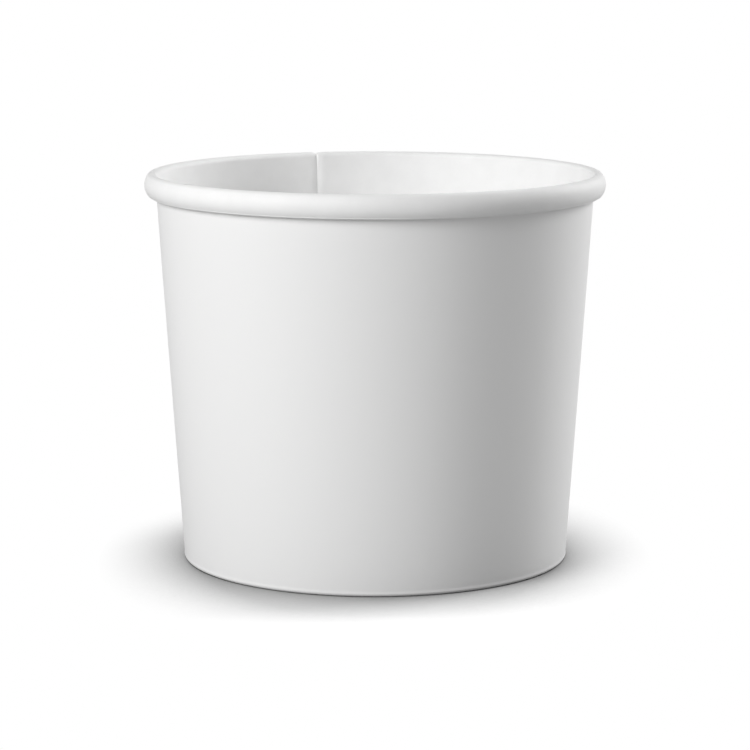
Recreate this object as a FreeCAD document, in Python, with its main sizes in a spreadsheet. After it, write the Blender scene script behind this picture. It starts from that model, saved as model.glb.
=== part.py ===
import FreeCAD
import Part
import cmath
import math
import os
from collections import namedtuple
from types import SimpleNamespace

import Sketcher
from FreeCAD import Placement, Rotation, Vector

# A paper sundae cup, in millimetres. +Z is up, and the origin is the middle of the foot, on the
# surface that the cup stands on. +Y points to the back of the cup, where the side seam is.
#
# The cup is two pieces of coated board. side_wall is one sheet, wrapped into a cone and sealed
# where its two ends lap. Its top edge is rolled outward into the rim, and its bottom edge is
# folded in and up into a hem. base_disc is a disc whose edge is pressed down into a skirt. The
# skirt is sealed between the wall and the hem, which holds the disc clear of the table.

# The driving sizes, in millimetres and degrees.
SIZES = {
    "rim_diameter": 96.0,  # across the rolled rim
    "cup_height": 81.2,  # table to the top of the rim
    "wall_taper": 3.84,  # between the wall and the upright, in degrees
    "roll_height": 4.9,  # top to underside of the rolled rim
    "roll_reach": 2.51,  # outside of the wall, level with the roll's underside, to the rim's outside
    "lip_bend": 0.27,  # inside the second ply, where the wall turns over at the top of the roll
    "tuck_bend": 0.5,  # inside the board, where the end of the roll turns up beside the wall
    "tuck_length": 1.3,  # straight end of the board, hidden in the roll
    "tuck_gap": 0.05,  # between that end and the wall
    "wall_board": 0.42,  # thickness of the wall's board
    "hem_bend": 0.12,  # inside the fold at the foot
    "hem_gap": 0.2,  # between the hem's cut edge and the bend of the base disc
    "base_board": 0.36,  # thickness of the disc's board
    "base_recess": 7.0,  # table to the underside of the disc
    "base_bend": 0.6,  # inside the bend between the disc and its skirt
    "skirt_gap": 0.25,  # between the skirt's cut edge and the bottom of the hem
    "seal_gap": 0.03,  # between each side of the skirt and the board beside it
    "lap_width": 8.0,  # how far the outer ply of the side seam covers the inner one, at the mouth
    "lap_ramp": 1.2,  # how far the outer ply takes to climb over the inner one's edge
    "lap_trim": 0.7,  # between the fold at the foot and the outer ply, which stops above it
    "lap_bite": 0.3,  # how far the outer ply reaches down over the flat band at the foot
    "seam_turn": 106.6,  # where the inner ply ends, in degrees counter-clockwise from +X
}

# What follows from them, as the formulas of a second sheet.
DERIVED = {
    "rim_radius": "Sizes.rim_diameter / 2",
    "under_roll": "Sizes.cup_height - Sizes.roll_height",  # height of the roll's underside
    "mouth_radius": "rim_radius - Sizes.roll_reach",  # outside of the wall, at that height
    "foot_radius": "mouth_radius - under_roll * tan(Sizes.wall_taper)",  # and at the table
    "lip_skin": "Sizes.lip_bend + 2 * Sizes.wall_board",  # outside of the bend at the top
    "lip_level": "Sizes.cup_height - Sizes.lip_bend - 2 * Sizes.wall_board",  # height of its centre
    "tuck_skin": "Sizes.tuck_bend + Sizes.wall_board",  # outside of the bend at the tuck
    "tuck_level": "Sizes.cup_height - Sizes.roll_height + Sizes.tuck_bend + Sizes.wall_board",
    "hem_inset": "Sizes.wall_board + Sizes.base_board + 2 * Sizes.seal_gap",  # wall's outside to hem
    "hem_top": "Sizes.base_recess - Sizes.base_bend - Sizes.hem_gap",
    "fold_level": "Sizes.wall_board + Sizes.hem_bend",  # height at which the fold's bends end
    "lap_foot": "Sizes.wall_board + Sizes.hem_bend + Sizes.lap_trim",  # foot of the outer ply
    "band_top": "Sizes.wall_board + Sizes.hem_bend + Sizes.lap_trim + Sizes.lap_bite",
    "skirt_foot": "Sizes.wall_board + Sizes.skirt_gap",
    "skirt_inset": "Sizes.wall_board + Sizes.seal_gap",  # wall's outside to the skirt's
    "ramp_turn": "Sizes.lap_ramp / mouth_radius * 180 / pi",
    "lap_turn": "Sizes.lap_width / mouth_radius * 180 / pi",
}

# How a sketch's constraints number its own two axes, and the points of a line or an arc.
TABLE_LINE, CUP_AXIS = -1, -2
ORIGIN = (-1, 1)
START, END, CENTRE = 1, 2, 3

# A line or an arc in a sketch, with the ends where the board comes to it and leaves it.
Drawn = namedtuple("Drawn", "id first last straight")


def make_sheet(doc, name, cells, sign=""):
    """A spreadsheet with one aliased cell for each entry, and what its cells then say."""
    sheet = doc.addObject("Spreadsheet::Sheet", name)
    for row, (alias, content) in enumerate(cells.items(), start=1):
        sheet.set(f"A{row}", alias)
        sheet.set(f"B{row}", f"{sign}{content}")
        sheet.setAlias(f"B{row}", alias)
    doc.recompute()
    return {alias: float(sheet.get(alias)) for alias in cells}


# In a section, a point is a complex number: its real part is the radius, its imaginary part the
# height. These points only say where a line starts out. The constraints then hold it in place.


def beside_wall(s, outward, height):
    """The point at that height, that far square outside the wall's outer face."""
    foot = complex(s.foot_radius, 0)
    up = complex(s.mouth_radius, s.under_roll) - foot
    up /= abs(up)
    start = foot - 1j * up * outward
    return start + up * (height - start.imag) / up.imag


def aimed(centre, target, reach):
    """The point that far from the centre, towards the target."""
    return centre + reach * (target - centre) / abs(target - centre)


def roll_circle(s, lip_centre, tuck_centre):
    """Centre and radius of the roll's long arc, on the skin. It runs into the bend at the lip and
    the bend at the tuck, and touches the rim's diameter in between.

    For each bend, the square of its height from the centre is (room - skin) times
    (2 * radius - room - skin), where room is how far its own centre lies inside the rim.
    """
    lip_room = s.rim_radius - lip_centre.real
    tuck_room = s.rim_radius - tuck_centre.real
    rise = lip_centre.imag - tuck_centre.imag
    lip_share = 1 / (lip_room - s.lip_skin)
    tuck_share = 1 / (tuck_room - s.tuck_skin)
    half = rise * lip_share
    rest = rise**2 * lip_share + lip_room + s.lip_skin - tuck_room - s.tuck_skin
    above_tuck = rest / (half + math.sqrt(half**2 - (lip_share - tuck_share) * rest))
    radius = (above_tuck**2 * tuck_share + tuck_room + s.tuck_skin) / 2
    return complex(s.rim_radius - radius, tuck_centre.imag + above_tuck), radius


def rim_face(s, depth):
    """A face of the board from the foot of the seam up the wall and round the roll to its tucked
    end, that deep under the roll's skin.

    Each piece is its start, its end and, for a bend, its centre.
    """
    lip_centre = beside_wall(s, s.lip_skin - s.wall_board, s.lip_level)
    tuck_centre = beside_wall(s, s.tuck_gap + s.tuck_skin, s.tuck_level)
    roll_centre, roll_radius = roll_circle(s, lip_centre, tuck_centre)

    wall_low = beside_wall(s, depth - s.wall_board, s.lap_foot)
    wall_end = beside_wall(s, depth - s.wall_board, s.lip_level)
    roll_start = aimed(roll_centre, lip_centre, roll_radius - depth)
    roll_end = aimed(roll_centre, tuck_centre, roll_radius - depth)
    tuck_low = beside_wall(s, s.tuck_gap + depth, s.tuck_level)
    tuck_end = beside_wall(s, s.tuck_gap + depth, s.tuck_level + s.tuck_length)
    return [
        (wall_low, wall_end, None),
        (wall_end, roll_start, lip_centre),
        (roll_start, roll_end, roll_centre),
        (roll_end, tuck_low, tuck_centre),
        (tuck_low, tuck_end, None),
    ]


def foot_face(s, depth):
    """A face of the board from the hem's cut edge down, round the fold and a little way up the
    wall, that deep from the side that the skirt lies on."""
    hem_high = beside_wall(s, -s.hem_inset - depth, s.hem_top)
    hem_low = beside_wall(s, -s.hem_inset - depth, s.fold_level)
    hem_centre = beside_wall(s, -s.hem_inset + s.hem_bend, s.fold_level)
    wall_centre = beside_wall(s, -s.wall_board - s.hem_bend, s.fold_level)
    wall_low = beside_wall(s, depth - s.wall_board, s.fold_level)
    wall_high = beside_wall(s, depth - s.wall_board, s.band_top)
    drop = 1j * (s.hem_bend + depth)
    return [
        (hem_high, hem_low, None),
        (hem_low, hem_centre - drop, hem_centre),
        (hem_centre - drop, wall_centre - drop, None),
        (wall_centre - drop, wall_low, wall_centre),
        (wall_low, wall_high, None),
    ]


def disc_face(s, depth):
    """A face of the base disc from its middle out and down the skirt, that deep from below."""
    inset = s.skirt_inset + s.base_board - depth
    bend_low = beside_wall(s, -inset, s.base_recess - s.base_bend)
    centre = bend_low - s.base_bend - depth
    level = complex(centre.real, s.base_recess + depth)
    return [
        (1j * level.imag, level, None),
        (level, bend_low, centre),
        (bend_low, beside_wall(s, -inset, s.skirt_foot), None),
    ]


class Section:
    """A sketch of board in section, in an upright plane through the cup's axis."""

    def __init__(self, body, name, s, turn=None):
        self.sketch = body.newObject("Sketcher::SketchObject", name)
        plane = next(f for f in body.Origin.OriginFeatures if f.Role == "XZ_Plane")
        self.sketch.AttachmentSupport = [(plane, "")]
        self.sketch.MapMode = "FlatFace"
        if turn:
            self.sketch.AttachmentOffset = Placement(Vector(), Rotation(Vector(0, 1, 0), 1))
            self.sketch.setExpression("AttachmentOffset.Rotation.Angle", turn)
        self.guide = self.draw_guide(s)

    def tie(self, kind, *what):
        """A constraint that has no size, or whose size is bound afterwards."""
        return self.sketch.addConstraint(Sketcher.Constraint(kind, *what))

    def size(self, kind, *where, start, to):
        """A constraint whose size is bound to the sheets. Start is where the drawing begins."""
        self.sketch.setExpression(f"Constraints[{self.tie(kind, *where, start)}]", to)

    def line(self, start, end, helper=False):
        """A straight line. A helper line is no edge of the board."""
        ends = [Vector(p.real, p.imag, 0) for p in (start, end)]
        return Drawn(self.sketch.addGeometry(Part.LineSegment(*ends), helper), START, END, True)

    def bend(self, start, end, centre, helper=False):
        """An arc of under half a turn. A sketch draws every arc counter-clockwise, so one that
        bends clockwise is drawn from its end."""
        leftward = ((end - centre) / (start - centre)).imag > 0
        first, last = (start, end) if leftward else (end, start)
        from_angle = cmath.phase(first - centre)
        to_angle = from_angle + cmath.phase((last - centre) / (first - centre))
        circle = Part.Circle(Vector(centre.real, centre.imag, 0), Vector(0, 0, 1), abs(start - centre))
        drawn = self.sketch.addGeometry(Part.ArcOfCircle(circle, from_angle, to_angle), helper)
        return Drawn(drawn, START, END, False) if leftward else Drawn(drawn, END, START, False)

    def draw_guide(self, s):
        """The line that every section shares: the wall's outer face, from the table to the roll."""
        guide = self.line(complex(s.foot_radius, 0), complex(s.mouth_radius, s.under_roll), True)
        top = (guide.id, END)
        self.tie("PointOnObject", guide.id, START, TABLE_LINE)
        self.size("DistanceX", *ORIGIN, guide.id, START, start=s.foot_radius, to="Derived.foot_radius")
        self.size("DistanceX", *ORIGIN, *top, start=s.mouth_radius, to="Derived.mouth_radius")
        self.size("DistanceY", *ORIGIN, *top, start=s.under_roll, to="Derived.under_roll")
        return guide

    def draw_face(self, pieces, helpers=0):
        """A face of the board, each piece running smoothly into the next. The last few of them
        may be helpers."""
        drawn = []
        for number, (start, end, centre) in enumerate(pieces):
            helper = number >= len(pieces) - helpers
            if centre is None:
                drawn.append(self.line(start, end, helper))
            else:
                drawn.append(self.bend(start, end, centre, helper))
        for one, other in zip(drawn, drawn[1:]):
            self.tie("Tangent", one.id, one.last, other.id, other.first)
        return drawn

    def join_faces(self, near, far, board, both_ends):
        """Closes two faces with the board's cut edges. Its thickness is held at the first edge,
        and also at the last one where a straight stretch between two bends leaves that free."""
        for one, other in zip(near, far):
            if not one.straight:
                self.tie("Coincident", one.id, CENTRE, other.id, CENTRE)
        finish = len(far) - 1
        firsts = (near[0], near[0].first, far[0], far[0].first, True)
        lasts = (near[finish], near[finish].last, far[finish], far[finish].last, both_ends)
        for one, one_end, other, other_end, thick in (firsts, lasts):
            points = [self.sketch.getPoint(p.id, end) for p, end in ((one, one_end), (other, other_end))]
            edge = self.line(*(complex(p.x, p.y) for p in points))
            self.tie("Coincident", edge.id, START, one.id, one_end)
            self.tie("Coincident", edge.id, END, other.id, other_end)
            if one.straight:
                self.tie("Parallel", one.id, other.id)
                self.tie("Perpendicular", edge.id, one.id)
            else:
                self.tie("PointOnObject", one.id, CENTRE, edge.id)
            if thick:
                self.size("Distance", edge.id, start=(points[1] - points[0]).Length, to=board)


def draw_rim(section, s, ply, foot, whole):
    """The wall and its roll. Ply 0 is the skin, and ply 1 lies against it, outside the wall and
    inside the roll. Where it isn't whole, the board ends where the tuck would begin."""
    depth = ply * s.wall_board
    deeper = f"{ply} * Sizes.wall_board"
    hidden = 0 if whole else 2
    near = section.draw_face(rim_face(s, depth), helpers=hidden)
    far = section.draw_face(rim_face(s, depth + s.wall_board)[: len(near) - hidden])
    section.join_faces(near, far, "Sizes.wall_board", both_ends=False)
    lip, roll, tuck_bend, tuck = near[1:]
    outside = (far, near)[ply][0]
    section.tie("PointOnObject", outside.id, START, section.guide.id)
    section.tie("PointOnObject", outside.id, END, section.guide.id)
    section.size("DistanceY", *ORIGIN, outside.id, START, start=s.lap_foot, to=foot)

    section.size("Radius", lip.id, start=s.lip_skin - depth, to=f"Derived.lip_skin - {deeper}")
    section.size("DistanceY", *ORIGIN, lip.id, CENTRE, start=s.lip_level, to="Derived.lip_level")
    section.size("Radius", tuck_bend.id, start=s.tuck_skin - depth, to=f"Derived.tuck_skin - {deeper}")
    section.size("DistanceY", *ORIGIN, tuck_bend.id, CENTRE, start=s.tuck_level, to="Derived.tuck_level")

    reach = s.rim_radius - depth
    brim = section.line(complex(reach, s.under_roll), complex(reach, s.cup_height), helper=True)
    section.tie("Vertical", brim.id)
    section.size("DistanceX", *ORIGIN, brim.id, START, start=reach, to=f"Derived.rim_radius - {deeper}")
    section.size("DistanceY", *ORIGIN, brim.id, START, start=s.under_roll, to="Derived.under_roll")
    section.size("DistanceY", *ORIGIN, brim.id, END, start=s.cup_height, to="Sizes.cup_height")
    section.tie("Tangent", roll.id, brim.id)

    stand_off = (tuck.id, START, section.guide.id)
    section.tie("Parallel", tuck.id, section.guide.id)
    section.size("Distance", *stand_off, start=s.tuck_gap + depth, to=f"Sizes.tuck_gap + {deeper}")
    section.size("Distance", tuck.id, start=s.tuck_length, to="Sizes.tuck_length")


def draw_foot(section, s):
    """The hem, the fold under it and the band of wall above it, which no seam interrupts."""
    near = section.draw_face(foot_face(s, 0.0))
    far = section.draw_face(foot_face(s, s.wall_board))
    section.join_faces(near, far, "Sizes.wall_board", both_ends=True)
    hem, hem_fold, floor, wall_fold, _ = near
    outside = far[-1]
    section.tie("PointOnObject", outside.id, START, section.guide.id)
    section.tie("PointOnObject", outside.id, END, section.guide.id)
    section.size("DistanceY", *ORIGIN, outside.id, END, start=s.band_top, to="Derived.band_top")
    section.tie("Horizontal", floor.id)
    section.tie("PointOnObject", far[2].id, START, TABLE_LINE)
    section.size("Radius", hem_fold.id, start=s.hem_bend, to="Sizes.hem_bend")
    section.size("Radius", wall_fold.id, start=s.hem_bend, to="Sizes.hem_bend")
    section.tie("Parallel", hem.id, section.guide.id)
    section.size("Distance", hem.id, START, section.guide.id, start=s.hem_inset, to="Derived.hem_inset")
    section.size("DistanceY", *ORIGIN, hem.id, START, start=s.hem_top, to="Derived.hem_top")


def draw_disc(section, s):
    """The base disc, from its middle to the cut edge of its skirt."""
    near = section.draw_face(disc_face(s, 0.0))
    far = section.draw_face(disc_face(s, s.base_board))
    section.join_faces(near, far, "Sizes.base_board", both_ends=False)
    disc, bend, skirt = near
    outside = far[-1]
    section.tie("Horizontal", disc.id)
    section.tie("PointOnObject", disc.id, START, CUP_AXIS)
    section.size("DistanceY", *ORIGIN, disc.id, START, start=s.base_recess, to="Sizes.base_recess")
    section.size("Radius", bend.id, start=s.base_bend, to="Sizes.base_bend")
    inset = (outside.id, START, section.guide.id)
    section.tie("Parallel", skirt.id, section.guide.id)
    section.size("Distance", *inset, start=s.skirt_inset, to="Derived.skirt_inset")
    section.size("DistanceY", *ORIGIN, skirt.id, END, start=s.skirt_foot, to="Derived.skirt_foot")


def revolve(body, name, section, turn="360"):
    """Turns a section about the cup's axis."""
    feature = body.newObject("PartDesign::Revolution", name)
    feature.Profile = section.sketch
    feature.ReferenceAxis = (section.sketch, ["V_Axis"])
    feature.setExpression("Angle", turn)
    return feature


def make_side_wall(doc, s):
    """The wall's sheet. Its seam is built at the body's own +X, and the body is then turned."""
    body = doc.addObject("PartDesign::Body", "SideWall")
    body.Label = "side_wall"

    foot = Section(body, "FootSection", s)
    draw_foot(foot, s)
    revolve(body, "HemmedFoot", foot)

    skin = Section(body, "SkinSection", s)
    draw_rim(skin, s, ply=0, foot="Derived.band_top", whole=True)
    revolve(body, "WallAndRoll", skin, "360 - Derived.ramp_turn")

    outer = Section(body, "OuterPlySection", s)
    draw_rim(outer, s, ply=1, foot="Derived.lap_foot", whole=False)
    revolve(body, "SeamLap", outer, "Derived.lap_turn")

    ramp = Section(body, "RampSection", s, turn="-Derived.ramp_turn")
    draw_rim(ramp, s, ply=0, foot="Derived.lap_foot", whole=False)
    climb = body.newObject("PartDesign::AdditiveLoft", "SeamRamp")
    climb.Profile = ramp.sketch
    climb.Sections = [outer.sketch]
    climb.Ruled = True

    body.Placement = Placement(Vector(), Rotation(Vector(0, 0, 1), s.seam_turn))
    body.setExpression("Placement.Rotation.Angle", "Sizes.seam_turn")
    return body


def make_base_disc(doc, s):
    """The base disc and its skirt."""
    body = doc.addObject("PartDesign::Body", "BaseDisc")
    body.Label = "base_disc"
    section = Section(body, "DiscSection", s)
    draw_disc(section, s)
    revolve(body, "PressedDisc", section)
    return body


def check(doc, bodies):
    """Stops if anything failed to build."""
    for thing in doc.Objects:
        if {"Invalid", "Error"} & set(thing.State):
            raise RuntimeError(f"{thing.Label} failed: {thing.State}")
    for sketch in doc.findObjects("Sketcher::SketchObject"):
        print(f"{sketch.Label}: fully constrained {sketch.FullyConstrained}, solver {sketch.solve()}")
    for body in bodies:
        shape = body.Shape
        if shape.isNull() or not shape.isValid() or len(shape.Solids) != 1:
            raise RuntimeError(f"{body.Label} is not one sound solid")
        box = shape.optimalBoundingBox(False)
        across = max(box.XLength, box.YLength)
        print(f"{body.Label}: {shape.Volume:.1f} mm3, {across:.2f} across, {box.ZLength:.2f} high")


def main():
    doc = FreeCAD.newDocument("PaperSundaeCup")
    sizes = make_sheet(doc, "Sizes", SIZES)
    derived = make_sheet(doc, "Derived", DERIVED, sign="=")
    s = SimpleNamespace(**sizes, **derived)
    bodies = [make_side_wall(doc, s), make_base_disc(doc, s)]
    doc.recompute()
    check(doc, bodies)
    os.makedirs("parts", exist_ok=True)
    for body in bodies:
        body.Shape.exportStep(f"parts/{body.Label}.step")


main()
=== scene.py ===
# %% [markdown]
# A paper sundae cup, from its two pieces of board.
#
# The real cup is made from two blanks of coated board. One is wrapped into a cone, sealed where
# its ends lap, rolled outward at the top and folded inward at the foot. The other is a disc
# with its edge pressed down. This script loads the construction model as a fixed frame, and
# builds a finer mesh of each blank in its place, with the marks that the machine leaves.

# %% Load the construction model
import cmath
import math

import bpy
import numpy as np
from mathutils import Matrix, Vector


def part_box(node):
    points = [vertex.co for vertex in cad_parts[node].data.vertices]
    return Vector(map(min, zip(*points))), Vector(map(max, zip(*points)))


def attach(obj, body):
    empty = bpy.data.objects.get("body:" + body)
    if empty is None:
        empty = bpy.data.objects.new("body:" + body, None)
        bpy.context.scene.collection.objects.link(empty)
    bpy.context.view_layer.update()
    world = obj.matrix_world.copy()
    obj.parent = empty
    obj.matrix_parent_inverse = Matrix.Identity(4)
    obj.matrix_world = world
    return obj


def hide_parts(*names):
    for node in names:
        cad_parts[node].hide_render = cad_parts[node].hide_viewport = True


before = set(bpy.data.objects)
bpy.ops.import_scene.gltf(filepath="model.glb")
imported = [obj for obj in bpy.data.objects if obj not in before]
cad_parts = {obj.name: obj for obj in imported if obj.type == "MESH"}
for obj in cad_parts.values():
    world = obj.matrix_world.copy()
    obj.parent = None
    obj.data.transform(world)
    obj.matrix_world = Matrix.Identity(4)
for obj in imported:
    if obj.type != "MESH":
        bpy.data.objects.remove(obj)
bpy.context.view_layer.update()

# %% [markdown]
# All lengths are written in millimetres, as a cup maker would give them, and turned into
# Blender's metres when a mesh is made. The rim and the height come from the loaded model, so
# that the finer mesh keeps its outline. The rest are the sizes of the board and its bends.

# %% The sizes of the cup
MM = 0.001

wall_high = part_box("side_wall")[1]
RIM_RADIUS = wall_high.x / MM
CUP_HEIGHT = wall_high.z / MM

WALL_TAPER = math.radians(3.84)  # between the wall and the upright
ROLL_HEIGHT = 4.9
ROLL_REACH = 2.51  # from the outside of the wall to the outside of the roll
WALL_BOARD = 0.42  # thickness of the board
LIP_BEND = 0.27  # inside the second ply, at the top of the roll
TUCK_BEND = 0.5  # inside the board, at the end of the roll
TUCK_LENGTH = 1.3
TUCK_GAP = 0.05
HEM_BEND = 0.12
HEM_GAP = 0.2
BASE_BOARD = 0.36
BASE_RECESS = 7.0  # table to the underside of the disc
BASE_BEND = 0.6
SKIRT_GAP = 0.25
SEAL_GAP = 0.03
LAP_WIDTH = 8.0
SEAM_TURN = math.radians(106.6)  # where the inner ply ends, counter-clockwise from +X

MOUTH_RADIUS = RIM_RADIUS - ROLL_REACH
UNDER_ROLL = CUP_HEIGHT - ROLL_HEIGHT
FOOT_RADIUS = MOUTH_RADIUS - UNDER_ROLL * math.tan(WALL_TAPER)
print(f"rim {2 * RIM_RADIUS:.2f} mm, height {CUP_HEIGHT:.2f} mm, foot {2 * FOOT_RADIUS:.2f} mm")

# %% [markdown]
# A cup is turned on a mandrel, so every part of it starts as a section: a line in the plane of
# the axis, with a radius and a height. A complex number holds both, and makes bends short to
# write, because a turn is a multiplication. Curves with a bevel, or a Screw modifier, could turn
# a section too. The mesh is written out here in code instead, because the board's thickness
# changes round the cup where its ends lap, and a modifier turns the same section everywhere.

# %% Points beside the wall
UPWARD = cmath.rect(1, math.pi / 2 - WALL_TAPER)
OUTWARD = -1j * UPWARD


def beside_wall(outward, height):
    """The point at that height, that far square outside the wall's outer face."""
    start = FOOT_RADIUS + OUTWARD * outward
    return start + UPWARD * (height - start.imag) / UPWARD.imag


def smooth(share):
    """Rises softly from 0 to 1 while the share goes from 0 to 1."""
    share = np.clip(share, 0, 1)
    return share * share * (3 - 2 * share)


print("wall leans out", f"{UPWARD.real / UPWARD.imag:.4f} mm for each mm of height")

# %% [markdown]
# The rolled rim is one long arc with a tighter bend at each end. The bend at the lip is where the
# wall turns over, and the bend at the tuck is where the cut edge turns up beside the wall and
# disappears. The long arc has to run into both and just touch the rim's diameter, which fixes its
# centre and radius: the same sum as in the construction model.

# %% The long arc of the roll
LIP_SKIN = LIP_BEND + 2 * WALL_BOARD
TUCK_SKIN = TUCK_BEND + WALL_BOARD
LIP_CENTRE = beside_wall(LIP_SKIN - WALL_BOARD, CUP_HEIGHT - LIP_SKIN)
TUCK_CENTRE = beside_wall(TUCK_GAP + TUCK_SKIN, UNDER_ROLL + TUCK_SKIN)


def roll_circle():
    """Centre and radius of the arc that joins the bend at the lip to the bend at the tuck."""
    lip_room = RIM_RADIUS - LIP_CENTRE.real
    tuck_room = RIM_RADIUS - TUCK_CENTRE.real
    rise = LIP_CENTRE.imag - TUCK_CENTRE.imag
    lip_share = 1 / (lip_room - LIP_SKIN)
    tuck_share = 1 / (tuck_room - TUCK_SKIN)
    half = rise * lip_share
    rest = rise**2 * lip_share + lip_room + LIP_SKIN - tuck_room - TUCK_SKIN
    above_tuck = rest / (half + math.sqrt(half**2 - (lip_share - tuck_share) * rest))
    radius = (above_tuck**2 * tuck_share + tuck_room + TUCK_SKIN) / 2
    return complex(RIM_RADIUS - radius, TUCK_CENTRE.imag + above_tuck), radius


ROLL_CENTRE, ROLL_RADIUS = roll_circle()
print(f"roll's long arc: radius {ROLL_RADIUS:.2f} mm about {ROLL_CENTRE:.2f}")

# %% [markdown]
# One face of the sheet can be followed from the hem's cut edge down, round the fold at the foot,
# up the inside of the wall, over the lip and round the roll to the tucked edge. The other face
# runs beside it, one board away. So it is enough to draw the first face, and to note at each
# point which way the board lies. A sheet has only two shapes in section, flats and bends, and a
# small class adds either to a path.

# %% Flats and bends of a sheet
class SheetPath:
    """Points along a face of the sheet, with what the seam needs to know at each."""

    def __init__(self):
        self.points, self.into_board, self.stage = [], [], []

    def straight(self, start, end, into_board, distances, stage):
        """Adds points at those distances along a straight line."""
        along = (end - start) / abs(end - start)
        for distance in distances:
            self.points.append(start + along * distance)
            self.into_board.append(into_board)
            self.stage.append(stage)

    def bend(self, centre, radius, from_angle, to_angle, steps, stage, inward=True):
        """Adds points round an arc. The board lies inside it, or outside if not inward."""
        for step in range(steps + 1):
            spoke = cmath.rect(1, from_angle + (to_angle - from_angle) * step / steps)
            self.points.append(centre + spoke * radius)
            self.into_board.append(-spoke if inward else spoke)
            self.stage.append(stage)


print("a path holds", ", ".join(vars(SheetPath())))

# %% [markdown]
# Rows of points sit close together where the sheet bends, and just before and after each bend, so
# that smooth shading doesn't smear a bend over the flat. The bend at the foot is a fold pressed
# flat: at its two ends the board turns a tight quarter, and between them it lies on the table.
# That narrow flat ring is what the cup stands on.

# %% The path of the sheet's inner face
HEM_INSET = WALL_BOARD + BASE_BOARD + 2 * SEAL_GAP
HEM_TOP = BASE_RECESS - BASE_BEND - HEM_GAP
FOLD_LEVEL = WALL_BOARD + HEM_BEND
HEM_FOLD = beside_wall(-HEM_INSET + HEM_BEND, FOLD_LEVEL)
WALL_FOLD = beside_wall(-WALL_BOARD - HEM_BEND, FOLD_LEVEL)
CLOSE_ROW = 0.12  # from a bend to the row that holds the flat flat
FOOT_ROWS_END = 2.4  # how far up the wall the rows of the foot reach
UPPER_ROWS = 10
NEAR_LIP = (3.0, 1.2, 0.4)  # how far below the lip the wall's last rows stand


def flat_rows(length, rows):
    """Distances along a flat, evenly rowed, with a close row inside each end."""
    even = np.linspace(0, length, rows + 1)[1:-1]
    return [CLOSE_ROW, *even, length - CLOSE_ROW]


def wall_rows(length, foot_rows):
    """Distances up the wall, closer together at the foot, where the seam is pressed flat."""
    foot = np.linspace(CLOSE_ROW, FOOT_ROWS_END, foot_rows)
    upper = np.linspace(FOOT_ROWS_END, length - NEAR_LIP[0], UPPER_ROWS + 1)[1:]
    return [*foot, *upper, length - NEAR_LIP[1], length - NEAR_LIP[2], length - CLOSE_ROW]


def sheet_path(hem_rows, fold_steps, foot_rows, lip_steps, roll_steps, tuck_steps):
    """The inner face of the sheet, from the hem's cut edge to the edge tucked into the roll."""
    path = SheetPath()
    inward_angle = cmath.phase(-OUTWARD) % math.tau
    hem_high = HEM_FOLD - OUTWARD * HEM_BEND
    hem_high += UPWARD * (HEM_TOP - hem_high.imag) / UPWARD.imag
    hem_low = HEM_FOLD - OUTWARD * HEM_BEND
    hem_length = abs(hem_high - hem_low)
    path.straight(hem_high, hem_low, -OUTWARD, [0, *flat_rows(hem_length, hem_rows)], "hem")
    path.bend(HEM_FOLD, HEM_BEND, inward_angle, 1.5 * math.pi, fold_steps, "fold", inward=False)
    outward_angle = math.tau + cmath.phase(OUTWARD)
    path.bend(WALL_FOLD, HEM_BEND, 1.5 * math.pi, outward_angle, fold_steps, "toe", inward=False)

    wall_foot = WALL_FOLD + OUTWARD * HEM_BEND
    wall_top = LIP_CENTRE - OUTWARD * LIP_SKIN
    rows = wall_rows(abs(wall_top - wall_foot), foot_rows)
    path.straight(wall_foot, wall_top, OUTWARD, rows, "wall")

    lip_end = cmath.phase(LIP_CENTRE - ROLL_CENTRE)
    roll_end = cmath.phase(TUCK_CENTRE - ROLL_CENTRE)
    path.bend(LIP_CENTRE, LIP_SKIN, inward_angle, lip_end, lip_steps, "lip")
    path.bend(ROLL_CENTRE, ROLL_RADIUS, lip_end, roll_end, roll_steps, "roll")
    path.bend(TUCK_CENTRE, TUCK_SKIN, roll_end, inward_angle - math.tau, tuck_steps, "tuck")
    tuck_low = TUCK_CENTRE - OUTWARD * TUCK_SKIN
    path.straight(tuck_low, tuck_low + UPWARD * TUCK_LENGTH, OUTWARD, [CLOSE_ROW, TUCK_LENGTH], "tuck")
    return path


inner_path = sheet_path(
    hem_rows=2, fold_steps=2, foot_rows=4, lip_steps=8, roll_steps=15, tuck_steps=4
)
outer_path = sheet_path(
    hem_rows=7, fold_steps=5, foot_rows=13, lip_steps=3, roll_steps=7, tuck_steps=3
)
print(f"inner face {len(inner_path.points)} rows, outer face {len(outer_path.points)} rows")

# %% [markdown]
# Where the two ends of the sheet lap, the outer ply climbs over the cut edge of the inner one,
# lies on it for the width of the lap, and ends in a cut edge of its own. Seen from inside, the
# inner ply's edge is a fine upright line. Seen from outside, it is the outer ply's. So each column
# of the mesh says how deep its two faces lie, and each row says how much of that it takes on.
#
# The columns stand evenly round the cup, a few to each ridge of the hem, and closer beside the two
# edges. A step is made by two columns that stand almost on the same spot.

# %% Columns round the sheet
RIDGES = 150  # pressed into the hem by the wheel that seals it
COLUMNS_PER_RIDGE = 5
SKIVE_WIDTH = 5.0  # over which the inner ply thins towards its edge
GROOVE_LEFT = 1.9  # how far the groove at that edge reaches over the inner ply
GROOVE_RIGHT = 1.5  # and over the sheet beside it
EDGE_PRESS_WIDTH = 0.8  # over which the outer ply is pressed down towards its own edge
STEP_HALF = 0.006  # half the width of a step between two columns
EDGE_COLUMNS = np.array([STEP_HALF, 0.04, 0.12, 0.26, 0.45, 0.7])  # from an edge to its columns
GROOVE_COLUMNS = np.array([1.0, 1.3])
BESIDE_LAP = np.array([STEP_HALF, 0.06, 0.2])
COLUMN_GAP = 0.2  # kept clear of even columns beside the close ones


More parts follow.
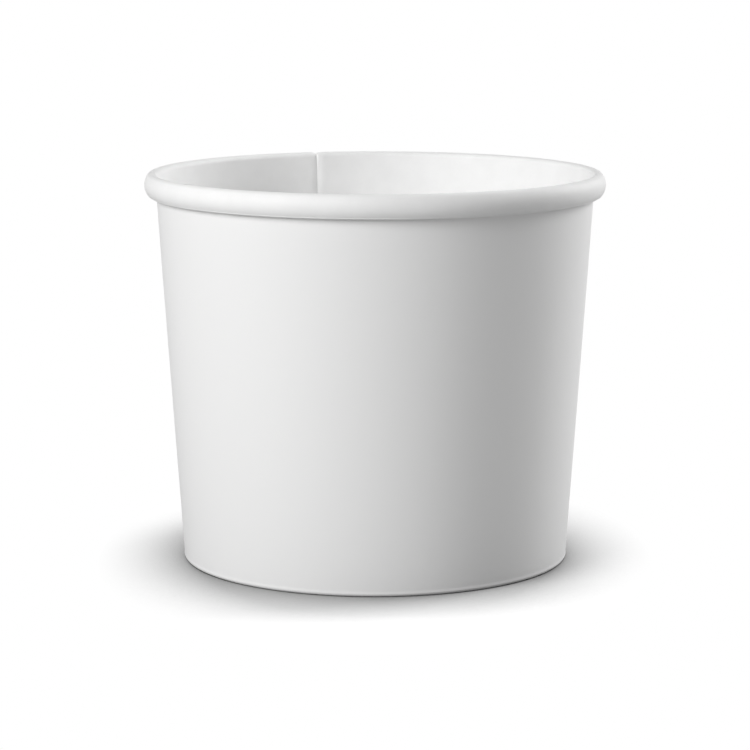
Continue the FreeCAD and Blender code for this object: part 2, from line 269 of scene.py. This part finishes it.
def seam_columns():
    """Places round the sheet, in mm along the mouth from the inner ply's cut edge."""
    girth = math.tau * MOUTH_RADIUS
    even = np.arange(RIDGES * COLUMNS_PER_RIDGE) * girth / (RIDGES * COLUMNS_PER_RIDGE) - SKIVE_WIDTH
    near_inner = (even > -GROOVE_RIGHT - COLUMN_GAP) & (even < GROOVE_LEFT + COLUMN_GAP)
    press_start = LAP_WIDTH - EDGE_PRESS_WIDTH
    near_outer = (even > press_start - COLUMN_GAP) & (even < LAP_WIDTH + 1.5 * COLUMN_GAP)
    inner_edge = [*-EDGE_COLUMNS, *-GROOVE_COLUMNS, *EDGE_COLUMNS, *GROOVE_COLUMNS]
    inner_edge += [GROOVE_LEFT - COLUMN_GAP, GROOVE_LEFT + 0.5 * COLUMN_GAP]
    outer_edge = [*(LAP_WIDTH - EDGE_COLUMNS), *(LAP_WIDTH + BESIDE_LAP)]
    return np.array(sorted([*even[~near_inner & ~near_outer], *inner_edge, *outer_edge]))


columns = seam_columns()
turns = columns / MOUTH_RADIUS + SEAM_TURN
print(f"{len(columns)} columns, from {columns[0]:.1f} to {columns[-1]:.1f} mm round the mouth")

# %% [markdown]
# Before the cone is wrapped, the inner ply's edge is skived thin, so that the step in the cup stays
# small. The clamp then presses both sides of it into a shallow groove, and presses the outer ply's
# edge down a little on the other side. Each is a depth that depends only on the distance from an
# edge, so a formula gives it for all columns at once. Sculpting the seam by hand would look as
# good, but it would be lost each time that a size of the cup changed.

# %% How the lap moves the board's two faces
GROOVE_DEPTH = 0.22  # at the inner ply's edge, seen in the cup
GROOVE_START = 0.4  # share of its right half over which the groove begins softly
INNER_STEP = 0.03  # what is left of the inner ply's edge
LIP_NOTCH = 0.15  # how much deeper the rounded corner of the inner ply sinks at the lip
LIP_NOTCH_WIDTH = 0.7
LIP_NOTCH_BEFORE = 0.3  # its width on the side of the sheet that isn't lapped
EDGE_PRESS = 0.1  # how far the outer ply's edge is pressed down


def pressed(distance, width):
    """How far the board is pressed down beside an edge, as a share of the depth at the edge."""
    return np.clip(1 - distance / width, 0, 1) ** 2


before = columns < 0
on_lap = (columns > 0) & (columns < LAP_WIDTH)
groove_right = INNER_STEP + GROOVE_DEPTH * pressed(-columns, GROOVE_RIGHT)
groove_right *= smooth((columns + GROOVE_RIGHT) / (GROOVE_START * GROOVE_RIGHT))
groove_left = GROOVE_DEPTH * pressed(columns, GROOVE_LEFT)
inner_sink = np.where(before, groove_right, np.where(on_lap, groove_left, 0))
notch_before = pressed(-columns, LIP_NOTCH_BEFORE)
notch_sink = LIP_NOTCH * np.where(before, notch_before, pressed(columns, LIP_NOTCH_WIDTH))

edge_sink = INNER_STEP + GROOVE_DEPTH
climb = edge_sink + (WALL_BOARD - edge_sink) * smooth(columns / SKIVE_WIDTH)
outer_press = EDGE_PRESS * pressed(LAP_WIDTH - columns, EDGE_PRESS_WIDTH)
outer_rise = np.where(before, groove_right, np.where(on_lap, climb - outer_press, 0))
print(f"groove {inner_sink.max():.2f} mm deep, outer ply {outer_rise.max():.2f} mm out")

# %% [markdown]
# Board is never perfectly round. A real cup is a few hundredths of a millimetre out, which the
# eye doesn't measure but sees as a soft unevenness in the shading. A few slow waves of different
# lengths give that, and they die out at the foot and the rim, which their tools hold round.

# %% Slow waves in the wall
WAVES = ((2, 0.4, 0.030), (3, 2.1, 0.022), (5, 4.0, 0.014), (9, 1.3, 0.006))  # count, phase, mm
WAVES_START = 9  # height up to which the hem holds the wall round
WAVES_GROW = 14  # and the height over which they grow from there
WAVES_END = 16  # height below the roll over which they die out


def wall_wave(turn, height):
    """How far the wall stands out of true, at that turn and height."""
    held = smooth((height - WAVES_START) / WAVES_GROW) * smooth((UNDER_ROLL - height) / WAVES_END)
    twist = height / CUP_HEIGHT
    return held * sum(deep * np.sin(count * turn + phase + twist) for count, phase, deep in WAVES)


print(f"wall waves up to {sum(wave[2] for wave in WAVES):.3f} mm")

# %% [markdown]
# The lap isn't the same all the way up. It grows out of the squashed foot, is whole up the wall
# and over the lip, and is lost again along the roll. At the lip, the rounded corner of the inner
# ply sinks a little deeper, which is the small dark notch in the far rim. Inside the roll the
# tuck has to move out by the outer ply's rise, or the two would cut through each other. Shape keys
# could hold each of these, but a share for each row says the same in one place.

# %% How much of the lap each row takes on
LAP_FADE = (0.95, 2.3)  # height over which the outer ply grows out of the foot
ROLL_FADE = math.radians(-20)  # angle on the roll from which the second ply is lost
NOTCH_LENGTH = 0.9  # from where the notch begins to the lip
LIP_START = LIP_CENTRE.imag - NOTCH_LENGTH


def row_shares(path):
    """Each row's share of the lap's step, of the notch at the lip, and of the tuck's way out."""
    shares = []
    lip_end = cmath.phase(LIP_CENTRE - ROLL_CENTRE)
    roll_end = cmath.phase(TUCK_CENTRE - ROLL_CENTRE)
    for point, stage in zip(path.points, path.stage):
        angle = cmath.phase(point - ROLL_CENTRE)
        if stage == "wall":
            grown = smooth((point.imag - LAP_FADE[0]) / (LAP_FADE[1] - LAP_FADE[0]))
            notch = smooth((point.imag - LIP_START) / NOTCH_LENGTH)
            shares.append((grown, notch, 0))
        elif stage == "lip":
            shares.append((1, 1, 0))
        elif stage == "roll":
            left = smooth((angle - roll_end) / (ROLL_FADE - roll_end))
            shares.append((left, smooth(angle / lip_end), smooth(angle / roll_end)))
        else:
            shares.append((0, 0, 1 if stage == "tuck" else 0))
    return np.array(shares, float).T


print("rows of the inner face that take the notch:", int((row_shares(inner_path)[1] > 0).sum()))

# %% [markdown]
# Now the sheet itself. Each column is one closed loop: the inner face from the hem to the tuck,
# and the outer face back again. The hem's ridges are pressed into its visible face, the one that
# looks at the axis from under the cup. The tight fold also bulges the wall a little just above
# the table, which shows as a bright line round the foot.

# %% Place the sheet's points
RIDGE_DEPTH = 0.075
HEM_FADE = 0.9  # from the end of the hem's flat to the full depth of its ridges
TOE_BEAD = 0.08  # how far the fold bulges the foot of the wall
TOE_LEVEL = 0.64  # height of the bulge
TOE_HALF = 0.26  # and half its width


def face_points(path, depth, bulge):
    """Points of one face of the sheet, by column and row, in mm."""
    clear = row_shares(path)[2]
    placed = np.array(path.points) + np.array(path.into_board) * depth
    placed = placed + OUTWARD * np.outer(outer_rise, clear)
    on_wall = np.array([stage == "wall" for stage in path.stage])
    at_foot = np.array([stage in ("toe", "wall") for stage in path.stage])
    radius = placed.real + np.where(on_wall, wall_wave(turns[:, None], placed.imag), 0)
    radius += np.where(at_foot, bulge * np.exp(-(((placed.imag - TOE_LEVEL) / TOE_HALF) ** 2)), 0)
    return np.stack([radius * np.cos(turns)[:, None], radius * np.sin(turns)[:, None], placed.imag], -1)


def ridge_depth(path):
    """Depth of the ridges in the hem, by column and row."""
    heights = np.array([point.imag for point in path.points])
    on_hem = np.array([stage == "hem" for stage in path.stage])
    held = smooth((heights - FOLD_LEVEL) / HEM_FADE) * smooth((HEM_TOP - heights) / HEM_FADE)
    ridge = 0.5 - 0.5 * np.cos(RIDGES * (turns - SEAM_TURN))
    return RIDGE_DEPTH * np.outer(ridge, held * on_hem)


inner_share, notch_share, _ = row_shares(inner_path)
inner_depth = np.outer(inner_sink, inner_share) + np.outer(notch_sink, notch_share)
inner_face = face_points(inner_path, inner_depth, 0.0)
outer_share = row_shares(outer_path)[0]
outer_depth = WALL_BOARD + np.outer(outer_rise, outer_share) - ridge_depth(outer_path)
outer_face = face_points(outer_path, outer_depth, TOE_BEAD)
print(f"sheet is {np.abs(outer_face).max():.2f} mm at its widest, {inner_face[..., 2].max():.2f} mm high")

# %% [markdown]
# A mesh can carry notes on its faces, called attributes, which a material reads later. Two are
# kept here. One marks the raw cut edges, which show the fibre of the board. The other marks the
# side with the thicker, glossier coating, which is the inside of the cup and, because the sheet
# is rolled outward, also the skin of the rim. The material also paints that side whiter, as
# painted bounce light from inside the cup.
#
# Whether a face looks out of the board or into it depends on the order of its corners. The volume
# that the faces enclose tells: it comes out negative if they look inward, and then all of them
# are turned round.

# %% A piece of board from points and faces
SHARP_ANGLE = math.radians(40)


def enclosed_volume(mesh):
    """Volume inside a closed mesh, in cubic mm. It is negative if the faces look inward."""
    mesh.calc_loop_triangles()
    corners = np.empty(len(mesh.vertices) * 3)
    mesh.vertices.foreach_get("co", corners)
    triangles = np.empty(len(mesh.loop_triangles) * 3, int)
    mesh.loop_triangles.foreach_get("vertices", triangles)
    a, b, c = corners.reshape(-1, 3)[triangles.reshape(-1, 3)].transpose(1, 0, 2) / MM
    return float(np.einsum("ij,ij->i", a, np.cross(b, c)).sum() / 6)


def board_piece(name, points, faces, cut_edge, coated):
    """A piece from points in mm and faces, shaded smooth, with its two notes on each face."""
    mesh = bpy.data.meshes.new(name)
    mesh.from_pydata((points * MM).tolist(), [], faces)
    for note, values in (("cut_edge", cut_edge), ("coated", coated)):
        attribute = mesh.attributes.new(note, "FLOAT", "FACE")
        attribute.data.foreach_set("value", values.astype(np.float32).ravel())
    mesh.polygons.foreach_set("use_smooth", np.ones(len(mesh.polygons), bool))
    mesh.set_sharp_from_angle(angle=SHARP_ANGLE)
    if enclosed_volume(mesh) < 0:
        mesh.flip_normals()
    piece = bpy.data.objects.new(name, mesh)
    bpy.context.scene.collection.objects.link(piece)
    return piece


print(f"edges sharper than {math.degrees(SHARP_ANGLE):.0f} degrees stay sharp")

# %% [markdown]
# Joining each loop to the next, and the last to the first, gives a single closed skin without a
# hole, so the mesh is as solid as the board. A Solidify modifier could give a plain sheet its
# thickness, but it would know nothing of the lap, where the two faces move by different amounts.

# %% Join the sheet's loops
def ring_quads(count, size):
    """Faces between each loop of points and the next, round a ring of loops."""
    here = np.arange(count * size).reshape(count, size)
    after = np.roll(here, -1, 0)
    quads = np.stack([here, after, np.roll(after, -1, 1), np.roll(here, -1, 1)], -1)
    return quads.reshape(-1, 4).tolist()


loops = np.concatenate([inner_face, outer_face[:, ::-1]], 1)
loop_count, loop_size = loops.shape[:2]
inner_rows = inner_face.shape[1]
coated = np.tile(np.arange(loop_size) < inner_rows, (loop_count, 1))
cut_edge = np.zeros((loop_count, loop_size))
cut_edge[:, [inner_rows - 1, loop_size - 1]] = 1
inner_step = np.argmin(np.abs(columns + STEP_HALF))
outer_step = np.argmin(np.abs(columns - (LAP_WIDTH - STEP_HALF)))
cut_edge[inner_step, :inner_rows] = 1
cut_edge[outer_step, inner_rows:] = 1

wall_points = loops.reshape(-1, 3)
side_wall = board_piece("cup_wall", wall_points, ring_quads(loop_count, loop_size), cut_edge, coated)
print(f"cup_wall: {len(side_wall.data.polygons)} faces, {enclosed_volume(side_wall.data):.0f} cubic mm")

# %% [markdown]
# The base is a disc whose edge was pressed down into a short skirt. Board can't shrink, so round
# the bend it gathers into many tiny puckers, and the flat of the disc ends up very slightly
# dished. Both are added to a section that is otherwise the construction model's. A plain cylinder
# would show neither, and under the cup it would leave no gap for the hem to grip.

# %% The base disc's section
DISH = 0.22  # how far the middle of the disc sinks
PUCKER = 0.05
PUCKER_REACH = 2.6
PUCKER_FADE = 1.1  # over which they die out at the bend
BEND_INSET = 1.0  # how far inside the skirt the disc begins to bend
DISC_START = 1.2  # from the axis to the first ring of points
DISC_ROWS = (6, 5)  # the first even ring, and how far from the bend the last one stands
NEAR_BEND = (3, 1.6, 0.8, 0.3)  # how far from the bend the last rings stand
SKIRT_ROW = 0.15  # from the bend to the first row of the skirt
BASE_COLUMNS = 480
PUCKERS = ((47, 0.3, 0.4), (61, 2.2, 0.7), (74, 5.1, 1.0), (89, 3.7, 0.6))  # count, phase, share


def disc_section(depth, rows, bend_steps):
    """A face of the disc from its middle out and down the skirt, that deep from its underside."""
    inset = WALL_BOARD + SEAL_GAP + BASE_BOARD - depth
    radius = BASE_BEND + depth
    bend_outer = beside_wall(-inset, BASE_RECESS - BASE_BEND)
    centre = complex((bend_outer - OUTWARD * radius).real, BASE_RECESS - BASE_BEND)
    path = SheetPath()
    top = centre + 1j * radius
    even = np.linspace(DISC_ROWS[0], top.real - DISC_ROWS[1], rows)
    close = [top.real - distance for distance in NEAR_BEND]
    path.straight(1j * top.imag, top, -1j, [DISC_START, *even, *close], "disc")
    path.bend(centre, radius, math.pi / 2, cmath.phase(OUTWARD), bend_steps, "bend")
    skirt_top = centre + OUTWARD * radius
    skirt_foot = WALL_BOARD + SKIRT_GAP
    drop = (skirt_top.imag - skirt_foot) / UPWARD.imag
    skirt_rows = [SKIRT_ROW, drop / 2, drop]
    path.straight(skirt_top, skirt_top - UPWARD * drop, -OUTWARD, skirt_rows, "skirt")
    return np.array(path.points)


def base_points(section, turns_round):
    """The section turned round the axis, dished in the middle and puckered at its bend."""
    radius, height = section.real[None, :], section.imag[None, :]
    bend_radius = section.real.max() - BEND_INSET
    dish = -DISH * (1 - (np.minimum(radius, bend_radius) / bend_radius) ** 2)
    near_bend = np.exp(-(((radius - bend_radius) / PUCKER_REACH) ** 2))
    near_bend *= smooth((bend_radius + PUCKER_FADE - radius) / PUCKER_FADE)
    ripple = sum(share * np.sin(count * turns_round + phase) for count, phase, share in PUCKERS)
    above_skirt = smooth((height - BASE_RECESS + BASE_BEND) / BASE_BEND)
    lift = (dish + PUCKER * ripple[:, None] * near_bend) * above_skirt
    turn = turns_round[:, None]
    return np.stack([radius * np.cos(turn), radius * np.sin(turn), height + lift], -1)


base_turns = np.arange(BASE_COLUMNS) * math.tau / BASE_COLUMNS
disc_top = base_points(disc_section(depth=BASE_BOARD, rows=5, bend_steps=7), base_turns)
disc_under = base_points(disc_section(depth=0.0, rows=5, bend_steps=5), base_turns)
print(f"disc {2 * disc_top[..., 0].max():.2f} mm across, top at {disc_top[:, 0, 2].mean():.2f} mm")

# %% [markdown]
# The loops of the disc don't close round a hole as the sheet's do: each face ends in the middle.
# There a small ring of points is filled with one triangle for each column, so that the middle is
# flat and the two faces still make one closed skin.

# %% Join the disc's points
disc_rows = np.concatenate([disc_top, disc_under[:, ::-1]], 1)
row_count = disc_rows.shape[1]
here = np.arange(BASE_COLUMNS * row_count).reshape(BASE_COLUMNS, row_count)
after = np.roll(here, -1, 0)
quads = np.stack([here[:, :-1], here[:, 1:], after[:, 1:], after[:, :-1]], -1).reshape(-1, 4)

middle_top = here.size
middle_under = middle_top + 1
middles = [[0, 0, face[:, 0, 2].mean()] for face in (disc_top, disc_under)]
fans = [(middle_top, int(a), int(b)) for a, b in zip(here[:, 0], after[:, 0])]
fans += [(middle_under, int(b), int(a)) for a, b in zip(here[:, -1], after[:, -1])]

top_rows = disc_top.shape[1]
band = np.arange(row_count - 1)
band_cut = np.tile(band == top_rows - 1, BASE_COLUMNS)
band_coated = np.tile(band < top_rows - 1, BASE_COLUMNS)
base_disc = board_piece(
    "cup_base",
    np.concatenate([disc_rows.reshape(-1, 3), middles]),
    [*quads.tolist(), *fans],
    cut_edge=np.concatenate([band_cut, np.zeros(2 * BASE_COLUMNS)]),
    coated=np.concatenate([band_coated, np.repeat([1, 0], BASE_COLUMNS)]),
)
print(f"cup_base: {len(base_disc.data.polygons)} faces, {enclosed_volume(base_disc.data):.0f} cubic mm")

# %% [markdown]
# Coated cup board is bleached white, and its coating dulls the light to a satin. Up close it isn't
# flat: the fibres under the coating leave a fine grain, the sheet is a little cloudy because its
# fibres settle unevenly, and the coating follows both. A photograph could be wrapped round the
# cup for this, but noise made by the shader stays sharp at any distance and has no joins. The raw
# cut edges have no coating, so they are rougher and warmer.

# %% A helper for materials
class Finish:
    """A material under construction: adds nodes and joins them."""

    def __init__(self, name):
        self.material = bpy.data.materials.new(name)
        self.material.use_nodes = True
        self.tree = self.material.node_tree
        self.tree.nodes.clear()

    def node(self, kind, settings=None, **inputs):
        """A node with its settings, and its inputs as values or as outputs of other nodes."""
        made = self.tree.nodes.new(kind)
        for name, value in (settings or {}).items():
            setattr(made, name, value)
        for name, value in inputs.items():
            socket = made.inputs[name.replace("_", " ")]
            if isinstance(value, bpy.types.NodeSocket):
                self.tree.links.new(value, socket)
            else:
                socket.default_value = value
        return made

    def noise(self, where, scale, detail):
        """Noise with that many waves to the millimetre."""
        made = self.node("ShaderNodeTexNoise", Vector=where, Scale=scale, Detail=detail)
        return made.outputs["Fac"]

    def between(self, share, low, high, start=0.3, end=0.7):
        """A number that runs from low to high while the share runs from start to end."""
        made = self.node("ShaderNodeMapRange", Value=share)
        for name, value in (("From Min", start), ("From Max", end), ("To Min", low), ("To Max", high)):
            made.inputs[name].default_value = value
        return made.outputs["Result"]

    def mixed(self, share, one, other):
        """A colour between two, each a colour or an output."""
        made = self.node("ShaderNodeMix", {"data_type": "RGBA"})
        for socket, value in ((0, share), (6, one), (7, other)):
            if isinstance(value, bpy.types.NodeSocket):
                self.tree.links.new(value, made.inputs[socket])
            else:
                made.inputs[socket].default_value = value
        return made.outputs[2]

    def joined(self, share, one, other):
        """A mix of two shaders."""
        mix = self.node("ShaderNodeMixShader", Fac=share)
        self.tree.links.new(one.outputs[0], mix.inputs[1])
        self.tree.links.new(other.outputs[0], mix.inputs[2])
        return mix

    def sum_of(self, *parts):
        """The sum of numbers, each an output with how much of it is taken."""
        total = None
        for output, weight in parts:
            scaled = self.node("ShaderNodeMath", {"operation": "MULTIPLY"})
            self.tree.links.new(output, scaled.inputs[0])
            scaled.inputs[1].default_value = weight
            if total is None:
                total = scaled.outputs[0]
                continue
            added = self.node("ShaderNodeMath", {"operation": "ADD"})
            self.tree.links.new(total, added.inputs[0])
            self.tree.links.new(scaled.outputs[0], added.inputs[1])
            total = added.outputs[0]
        return total


print("finish helper ready")

# %% [markdown]
# The board's material takes its noise in millimetres from the object's own coordinates, and reads
# the notes on the faces to tell the coated side, the plainer side and the raw edges apart. The
# same recipe serves both blanks: they come from different reels, so the base is a shade greyer.

# %% The finish of coated cup board
COATED_ROUGHNESS = 0.55
PLAIN_ROUGHNESS = 0.62
RAW_EDGE_ROUGHER = 0.35
GLOSS_SPREAD = 0.03  # how far the grain moves the roughness either way
SHEEN = 0.3
COATING_IOR = 1.45
CLOUD_SCALE, FIBRE_SCALE, GRAIN_SCALE = 0.22, 2.6, 0.8  # waves of each noise to the millimetre
GRAIN_HEIGHT = 0.012  # mm
TONE_SHARES = (0.7, 0.3)  # of the clouds and the fibres in the tone
RELIEF_SHARES = (0.35, 0.8, 1.6)  # of the fibres, the grain and the clouds in the relief


def cup_board(name, coated_white_with_painted_bounce, plain_white, cloud, edge_white):
    """Coated board: white, with its clouded tone, grain and raw edges; its coated side is painted whiter,
    as bounce light.
    """
    finish = Finish(name)
    place = finish.node("ShaderNodeTexCoord").outputs["Object"]
    in_mm = finish.node("ShaderNodeMapping", Vector=place, Scale=(1 / MM, 1 / MM, 1 / MM))
    where = in_mm.outputs["Vector"]
    clouds = finish.noise(where, CLOUD_SCALE, detail=3.0)
    fibres = finish.noise(where, FIBRE_SCALE, detail=4.0)
    grain = finish.noise(where, GRAIN_SCALE, detail=3.0)
    cut = finish.node("ShaderNodeAttribute", {"attribute_name": "cut_edge"}).outputs["Fac"]
    coated_side = finish.node("ShaderNodeAttribute", {"attribute_name": "coated"}).outputs["Fac"]

    # The coated side's gloss is real, but its whiter colour is painted light: painted bounce light that
    # brightens the inside of the cup and the skin of the rim.
    side_white_with_painted_bounce = finish.mixed(coated_side, plain_white, coated_white_with_painted_bounce)
    tones = (finish.between(clouds, 0, 1), finish.between(fibres, 0, 1))
    shade = finish.sum_of(*zip(tones, TONE_SHARES))
    toned = finish.mixed(shade, side_white_with_painted_bounce, cloud)
    colour = finish.mixed(cut, toned, edge_white)

    gloss_fine = finish.between(grain, -GLOSS_SPREAD, GLOSS_SPREAD)
    side_gloss = finish.between(coated_side, PLAIN_ROUGHNESS, COATED_ROUGHNESS, 0, 1)
    raw_gloss = finish.between(cut, 0.0, RAW_EDGE_ROUGHER, 0, 1)
    roughness = finish.sum_of((gloss_fine, 1.0), (side_gloss, 1.0), (raw_gloss, 1.0))

    height = finish.sum_of(*zip((fibres, grain, clouds), RELIEF_SHARES))
    bump = finish.node("ShaderNodeBump", Strength=1.0, Distance=GRAIN_HEIGHT * MM, Height=height)
    shader = finish.node("ShaderNodeBsdfPrincipled", Roughness=roughness, Normal=bump.outputs["Normal"])
    finish.tree.links.new(colour, shader.inputs["Base Color"])
    shader.inputs["IOR"].default_value = COATING_IOR
    shader.inputs["Specular IOR Level"].default_value = SHEEN
    out = finish.node("ShaderNodeOutputMaterial")
    finish.tree.links.new(shader.outputs["BSDF"], out.inputs["Surface"])
    return finish.material


# Each board's coated white is a shade lighter than its plain white. The difference is painted bounce
# light from inside the cup.
wall_board = cup_board(
    "wall_board",
    coated_white_with_painted_bounce=(0.94, 0.94, 0.938, 1),
    plain_white=(0.9, 0.9, 0.898, 1),
    cloud=(0.9, 0.9, 0.897, 1),
    edge_white=(0.87, 0.85, 0.81, 1),
)
base_board = cup_board(
    "base_board",
    coated_white_with_painted_bounce=(0.93, 0.93, 0.926, 1),
    plain_white=(0.89, 0.89, 0.886, 1),
    cloud=(0.885, 0.885, 0.88, 1),
    edge_white=(0.86, 0.84, 0.8, 1),
)
side_wall.data.materials.append(wall_board)
base_disc.data.materials.append(base_board)
print("finishes:", wall_board.name, base_board.name)

# %% [markdown]
# Each finer piece stands in for its plain solid and moves with the cup. The solids stay in the
# file, hidden, because the physics model uses them.

# %% Tie the pieces to the construction model
for piece, node, slot in (
    (side_wall, "side_wall", "wall_board"),
    (base_disc, "base_disc", "base_board"),
):
    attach(piece, "root")
    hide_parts(node)
    print(piece.name, "stands for", node)

# %% [markdown]
# The cup stands on a plain white surface that has no edge in view. To the camera the surface is
# brighter than it is to the light, so that it burns out to white all round without a single extra
# lamp on the cup. The shadow that the cup casts is soft, and darkest where the foot keeps the
# light of the whole tent out. Area lamps alone leave too little of that, so the Ambient Occlusion
# node, which measures how much of the sky a point sees past the cup, deepens it near the foot.
# The light that the surface throws back onto the cup is weaker there too.

# %% The surface under the cup
FLOOR_HALF = 2.5  # metres
FLOOR_SEEN = 1.6  # how bright the floor is to the camera
FLOOR_BOUNCE = 0.44  # and to the light
FOOT_SHADOW = 0.04  # metres over which the foot darkens the floor
SHADOW_DEPTH = 2.1  # power by which it does
SHADOW_SAMPLES = 16
WHITE_FROM, WHITE_TO = 0.055, 0.085  # metres in front over which the floor turns plain white
SIDEWAYS = 1.45  # how much nearer it does so at the sides


def floor_finish():
    """White paper to the light, and to the camera a brighter white that burns out further off."""
    finish = Finish("white_floor")
    rays = finish.node("ShaderNodeLightPath")
    place = finish.node("ShaderNodeTexCoord").outputs["Object"]
    squeezed = finish.node("ShaderNodeMapping", Vector=place, Scale=(SIDEWAYS, 1, 1)).outputs[0]
    distance = finish.node("ShaderNodeVectorMath", {"operation": "LENGTH"}, Vector=squeezed)
    far_off = finish.between(distance.outputs["Value"], 0, 1, WHITE_FROM, WHITE_TO)
    sampled = {"samples": SHADOW_SAMPLES}
    open_sky = finish.node("ShaderNodeAmbientOcclusion", sampled, Distance=FOOT_SHADOW)
    deepened = finish.node("ShaderNodeMath", {"operation": "POWER"})
    finish.tree.links.new(open_sky.outputs["AO"], deepened.inputs[0])
    deepened.inputs[1].default_value = SHADOW_DEPTH
    bounced_tone = finish.sum_of((open_sky.outputs["AO"], FLOOR_BOUNCE))
    bounced = finish.node("ShaderNodeBsdfDiffuse", Color=bounced_tone)
    seen_tone = finish.sum_of((deepened.outputs[0], FLOOR_SEEN))
    near = finish.node("ShaderNodeBsdfDiffuse", Color=seen_tone)
    white = finish.node("ShaderNodeEmission", Color=(1, 1, 1, 1), Strength=1.0)
    seen = finish.joined(far_off, near, white)
    surface = finish.joined(rays.outputs["Is Camera Ray"], bounced, seen)
    out = finish.node("ShaderNodeOutputMaterial")
    finish.tree.links.new(surface.outputs[0], out.inputs["Surface"])
    return finish.material


floor_mesh = bpy.data.meshes.new("floor")
corners = [(-FLOOR_HALF, -FLOOR_HALF, 0), (FLOOR_HALF, -FLOOR_HALF, 0)]
corners += [(FLOOR_HALF, FLOOR_HALF, 0), (-FLOOR_HALF, FLOOR_HALF, 0)]
floor_mesh.from_pydata(corners, [], [(0, 1, 2, 3)])
floor_mesh.materials.append(floor_finish())
floor = bpy.data.objects.new("floor", floor_mesh)
bpy.context.scene.collection.objects.link(floor)
print(f"floor {2 * FLOOR_HALF} m square")

# %% [markdown]
# The light is that of a small product tent. A broad lamp at the front left makes the soft bright
# band on the left of the cup and lights the inside of the far wall. Another behind on the right
# lights the cup's right edge, and the white walls of the tent fill the rest. In Blender the lamps
# are area lights, and the tent is the world's colour.

# %% Lamps and tent
AIM = Vector((0, 0, 0.04))  # half way up the cup
TENT_FILL = 0.29
BACKDROP = 1.0  # the same tent, as the camera sees it


def add_lamp(name, azimuth, elevation, distance, width, power):
    """A square area lamp aimed at the cup. Azimuth 0 is the camera's side, and left is minus."""
    light = bpy.data.lights.new(name, "AREA")
    light.shape = "SQUARE"
    light.size = width
    light.energy = power
    lamp = bpy.data.objects.new(name, light)
    turn, tilt = math.radians(azimuth), math.radians(elevation)
    away = Vector((math.sin(turn) * math.cos(tilt), -math.cos(turn) * math.cos(tilt), math.sin(tilt)))
    lamp.location = AIM + away * distance
    lamp.rotation_euler = (-away).to_track_quat("-Z", "Y").to_euler()
    bpy.context.scene.collection.objects.link(lamp)


LAMPS = (
    ("key_left", -47, 26, 1.0, 0.5, 7.2),
    ("edge_right", 121, 24, 1.0, 0.5, 7.2),
)  # name, azimuth, elevation, distance, width and power
for lamp in LAMPS:
    add_lamp(*lamp)

world = bpy.data.worlds.new("tent")
bpy.context.scene.world = world
world.use_nodes = True
tent = world.node_tree
tent.nodes.clear()
rays = tent.nodes.new("ShaderNodeLightPath")
fill = tent.nodes.new("ShaderNodeBackground")
fill.inputs["Color"].default_value = (1, 1, 1, 1)
fill.inputs["Strength"].default_value = TENT_FILL
seen = tent.nodes.new("ShaderNodeBackground")
seen.inputs["Color"].default_value = (1, 1, 1, 1)
seen.inputs["Strength"].default_value = BACKDROP
choose = tent.nodes.new("ShaderNodeMixShader")
tent.links.new(rays.outputs["Is Camera Ray"], choose.inputs[0])
tent.links.new(fill.outputs["Background"], choose.inputs[1])
tent.links.new(seen.outputs["Background"], choose.inputs[2])
tent.links.new(choose.outputs["Shader"], tent.nodes.new("ShaderNodeOutputWorld").inputs["Surface"])
bpy.context.scene.view_settings.view_transform = "Standard"
print("lamps:", [lamp[0] for lamp in LAMPS])

# %% [markdown]
# The camera stands more than seven cup heights away with a long lens, and looks a little down, so
# that the far side of the rim shows above the near side. A long lens keeps the front and the back
# of the rim nearly the same size, as product photographs do.

# %% Camera
CAMERA_ELEVATION = math.radians(9.509)
CAMERA_DISTANCE = 0.6132
LENS_PIXELS = 2909.0  # focal length, in pixels of an image 750 wide
IMAGE_PIXELS = 750
SENSOR = 36.0  # mm
SIDE_PIXELS = -0.115  # how far to the right the camera stands, in pixels at the cup
LOOK_AT = Vector((SIDE_PIXELS * CAMERA_DISTANCE / LENS_PIXELS, 0, 0.03814))

camera_data = bpy.data.cameras.new("camera")
camera_data.sensor_width = SENSOR
camera_data.lens = SENSOR * LENS_PIXELS / IMAGE_PIXELS
camera = bpy.data.objects.new("camera", camera_data)
back = Vector((0, -math.cos(CAMERA_ELEVATION), math.sin(CAMERA_ELEVATION)))
camera.location = LOOK_AT + back * CAMERA_DISTANCE
camera.rotation_euler = (-back).to_track_quat("-Z", "Y").to_euler()
bpy.context.scene.collection.objects.link(camera)
bpy.context.scene.camera = camera
print(f"camera: lens {camera_data.lens:.1f} mm, {CAMERA_DISTANCE * 1000:.0f} mm from the cup")

# %% [markdown]
